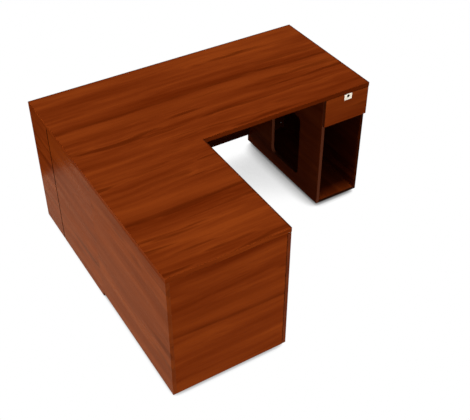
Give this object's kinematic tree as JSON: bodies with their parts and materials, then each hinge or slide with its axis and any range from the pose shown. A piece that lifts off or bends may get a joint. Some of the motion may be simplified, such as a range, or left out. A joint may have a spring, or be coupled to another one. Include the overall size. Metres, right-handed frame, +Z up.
{
  "type": "corner desk",
  "caption": "L-shaped office corner desk: a mahogany laminate top on panel ends, a cupboard return on the left, and a pedestal with a locking drawer over an open computer bay.",
  "frame": {"origin": "on the floor under the centre of the footprint", "axes": "+Z up, +X to the right along the main leg, +Y to the back; the return runs forward, towards -Y, at the left end"},
  "size_m": [1.6, 1.5, 0.745],
  "materials": {
    "worktop_laminate": "semi-gloss reddish brown mahogany laminate, grain along the desk",
    "edge_band": "satin mahogany edge banding, a little lighter than the faces",
    "panel_laminate": "semi-gloss mahogany laminate on board",
    "front_laminate": "semi-gloss mahogany laminate on board",
    "dark_batten": "dark stained softwood",
    "drawer_board": "plain board with a maple foil",
    "hardboard": "smooth hardboard",
    "beech": "bare fluted beech",
    "lock_plate_cream": "smooth cream enamel",
    "lock_zinc": "die-cast zinc",
    "lock_plug": "darkened brass plug",
    "zinc_steel": "bright zinc plating",
    "runner_steel": "zinc-plated rolled steel",
    "satin_nickel": "satin nickel",
    "white_plastic": "moulded nylon",
    "black_plastic": "moulded black plastic",
    "clear_silicone": "clear silicone"
  },
  "bodies": {
    "frame": {"back_panel": "panel_laminate", "bottom_pivot_plates": "zinc_steel", "cabinet_screws": "zinc_steel", "cam_bolts": "zinc_steel", "cam_locks": "zinc_steel", "corner_brackets": "zinc_steel", "door_bumpers": "clear_silicone", "drawer_dust_panel": "panel_laminate", "foot_inserts": "zinc_steel", "foot_pads": "black_plastic", "foot_studs": "zinc_steel", "gable_splice_post": "dark_batten", "left_gable_front": "panel_laminate", "left_gable_rear": "panel_laminate", "magnetic_catches": "white_plastic", "pedestal_back": "panel_laminate", "pedestal_bottom": "panel_laminate", "pedestal_left_side": "panel_laminate", "pedestal_right_side": "panel_laminate", "return_bottom": "panel_laminate", "return_corner_side": "panel_laminate", "return_end_panel": "panel_laminate", "return_front_rail": "panel_laminate", "return_outer_side": "panel_laminate", "return_shelf": "panel_laminate", "runner_left_outer": "runner_steel", "runner_right_outer": "runner_steel", "shelf_pins": "zinc_steel", "strike_plate": "zinc_steel", "top_pivot_plates": "zinc_steel", "wood_dowels": "beech", "worktop": "worktop_laminate", "worktop_edge_bands": "edge_band"},
    "drawer": {"drawer_front": "front_laminate", "drawer_left_side": "drawer_board", "drawer_right_side": "drawer_board", "drawer_box_front": "drawer_board", "drawer_box_back": "drawer_board", "drawer_bottom": "hardboard", "drawer_dowels": "beech", "drawer_screws": "zinc_steel", "runner_left_inner": "runner_steel", "runner_right_inner": "runner_steel", "lock_plate": "lock_plate_cream", "lock_case": "lock_zinc"},
    "runner_left_middle": {"runner_left_middle": "runner_steel"},
    "runner_right_middle": {"runner_right_middle": "runner_steel"},
    "lock_cylinder": {"lock_cylinder": "lock_plug"},
    "lock_bolt": {"lock_bolt": "lock_zinc"},
    "door_end": {"door_end": "front_laminate", "door_end_bushes": "white_plastic", "door_end_catch_plate": "zinc_steel", "door_end_handle": "satin_nickel", "door_end_handle_screws": "zinc_steel"},
    "door_corner": {"door_corner": "front_laminate", "door_corner_bushes": "white_plastic", "door_corner_catch_plate": "zinc_steel", "door_corner_handle": "satin_nickel", "door_corner_handle_screws": "zinc_steel"}
  },
  "joints": [
    {"name": "drawer_slide", "type": "slide", "parent": "frame", "child": "drawer", "axis": [0, -1, 0], "range_m": [0, 0.5]},
    {"name": "runner_left_slide", "type": "slide", "parent": "frame", "child": "runner_left_middle", "axis": [0, -1, 0], "range_m": [0, 0.25]},
    {"name": "runner_right_slide", "type": "slide", "parent": "frame", "child": "runner_right_middle", "axis": [0, -1, 0], "range_m": [0, 0.25]},
    {"name": "lock_turn", "type": "hinge", "parent": "drawer", "child": "lock_cylinder", "pos_m": [0.665, 0, 0.7055], "axis": [0, -1, 0], "range_deg": [0, 180]},
    {"name": "bolt_throw", "type": "slide", "parent": "drawer", "child": "lock_bolt", "axis": [0, 0, 1], "range_m": [0, 0.01]},
    {"name": "door_end_swing", "type": "hinge", "parent": "frame", "child": "door_end", "pos_m": [-0.207, -0.741, 0.3], "axis": [0, 0, -1], "range_deg": [0, 110]},
    {"name": "door_corner_swing", "type": "hinge", "parent": "frame", "child": "door_corner", "pos_m": [-0.207, -0.009, 0.3], "axis": [0, 0, 1], "range_deg": [0, 110]}
  ],
  "couplings": [
    {"joint": "runner_left_slide", "follows": "drawer_slide", "ratio": 0.5},
    {"joint": "runner_right_slide", "follows": "drawer_slide", "ratio": 0.5},
    {"joint": "bolt_throw", "follows": "lock_turn", "m_per_rad": 0.003183}
  ]
}
